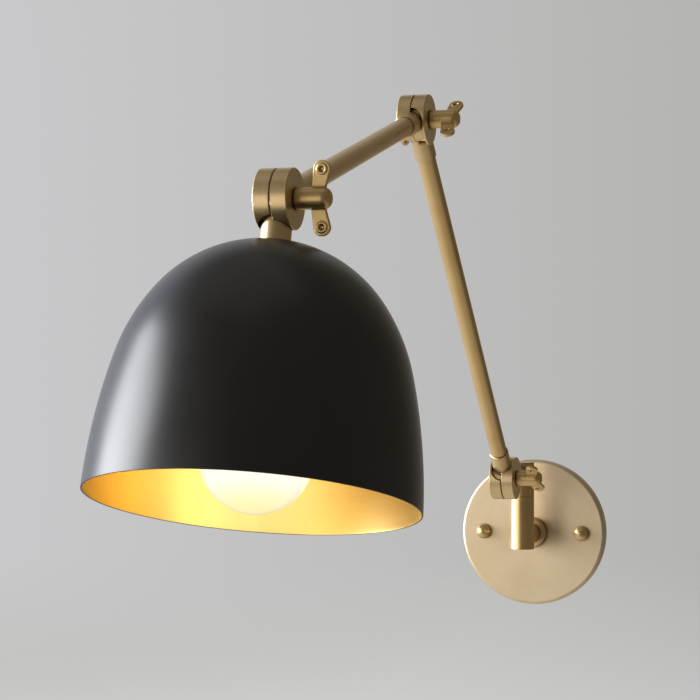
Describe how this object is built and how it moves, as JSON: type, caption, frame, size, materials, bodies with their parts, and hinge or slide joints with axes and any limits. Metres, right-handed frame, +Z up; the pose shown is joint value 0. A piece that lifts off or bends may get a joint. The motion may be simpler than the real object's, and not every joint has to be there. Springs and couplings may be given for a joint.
{
  "type": "articulating wall lamp",
  "caption": "Wall lamp with a round canopy, swivelling post, two tube arms on wing-nut disc knuckles, and a dome shade that tilts over a screw-base globe bulb.",
  "frame": {"origin": "centre of the round canopy on the wall plane, which is also the centre of the crossbar's two box-screw slots", "axes": "+Y points into the wall and the lamp reaches out along -Y; +Z is up; +X is along the knuckle axes, to the right as seen from the room"},
  "size_m": [0.1745, 0.7927, 0.3795],
  "materials": {
    "brushed_brass": "fine brushed, clear lacquered",
    "thin_brass": "bright, unlacquered",
    "zinc_steel": "zinc plated, satin",
    "bulb_cap_metal": "satin",
    "green_screw": "dyed green, satin",
    "fibre_washer": "vulcanised fibre, matt",
    "lead_sheath": "smooth",
    "black_enamel": "satin black powder coat outside, gold coat inside",
    "socket_phenolic": "moulded phenolic",
    "frosted_glass": "frosted white"
  },
  "bodies": {
    "wall_mount": {"canopy_plate": "brushed_brass", "crossbar_box_strap": "zinc_steel", "crossbar_stud_strap": "zinc_steel", "crossbar_eyelet": "zinc_steel", "ground_screw": "green_screw", "canopy_studs": "zinc_steel", "cap_nuts": "brushed_brass", "stud_nuts": "zinc_steel", "canopy_collar": "brushed_brass", "stub_sleeve": "brushed_brass", "wall_nipple": "zinc_steel", "nipple_washer": "zinc_steel", "nipple_locknut": "zinc_steel", "post_lower": "brushed_brass", "swivel_washer": "brushed_brass", "pivot_tube": "thin_brass", "pivot_nut": "thin_brass"},
    "swing_head": {"post_upper": "brushed_brass", "post_cap": "brushed_brass", "head_tube": "brushed_brass", "head_knuckle": "brushed_brass", "base_pivot_bolt": "brushed_brass", "base_friction_washer": "fibre_washer"},
    "lower_arm": {"lower_arm_base_knuckle": "brushed_brass", "lower_arm_tube": "brushed_brass", "lower_arm_lead": "lead_sheath", "lower_arm_elbow_knuckle": "brushed_brass"},
    "upper_arm": {"upper_arm_elbow_knuckle": "brushed_brass", "upper_arm_tube": "brushed_brass", "upper_arm_lead": "lead_sheath", "upper_arm_shade_knuckle": "brushed_brass", "elbow_pivot_bolt": "brushed_brass", "elbow_friction_washer": "fibre_washer", "shade_pivot_bolt": "brushed_brass", "shade_friction_washer": "fibre_washer"},
    "shade_head": {"shade_knuckle": "brushed_brass", "shade": "black_enamel", "shade_nipple": "thin_brass", "shade_locknut": "zinc_steel", "socket_cup": "brushed_brass", "socket_cup_nut": "zinc_steel", "socket_body": "socket_phenolic", "socket_screw_shell": "thin_brass", "socket_contact": "thin_brass", "bulb_contact_tip": "thin_brass", "bulb_insulator": "socket_phenolic", "bulb_screw_base": "bulb_cap_metal", "bulb_globe": "frosted_glass"},
    "base_wing": {"base_wing_nut": "brushed_brass"},
    "elbow_wing": {"elbow_wing_nut": "brushed_brass"},
    "shade_wing": {"shade_wing_nut": "brushed_brass"}
  },
  "joints": [
    {"name": "post_swing", "type": "hinge", "parent": "wall_mount", "child": "swing_head", "pos_m": [0, -0.0542, 0.0332], "axis": [0, 0, 1], "range_deg": [-85, 85]},
    {"name": "base_tilt", "type": "hinge", "parent": "swing_head", "child": "lower_arm", "pos_m": [0, -0.1165, 0.0512], "axis": [1, 0, 0], "range_deg": [-52, 18]},
    {"name": "elbow_fold", "type": "hinge", "parent": "lower_arm", "child": "upper_arm", "pos_m": [0, -0.3852, 0.30264], "axis": [1, 0, 0], "range_deg": [-8, 58]},
    {"name": "shade_tilt", "type": "hinge", "parent": "upper_arm", "child": "shade_head", "pos_m": [0, -0.66603, 0.22949], "axis": [1, 0, 0], "range_deg": [-10, 53]},
    {"name": "base_wing_turn", "type": "hinge", "parent": "swing_head", "child": "base_wing", "pos_m": [0.0094, -0.1165, 0.0512], "axis": [1, 0, 0], "continuous": true},
    {"name": "elbow_wing_turn", "type": "hinge", "parent": "upper_arm", "child": "elbow_wing", "pos_m": [0.0094, -0.3852, 0.30264], "axis": [1, 0, 0], "continuous": true},
    {"name": "shade_wing_turn", "type": "hinge", "parent": "upper_arm", "child": "shade_wing", "pos_m": [0.0094, -0.66603, 0.22949], "axis": [1, 0, 0], "continuous": true}
  ]
}
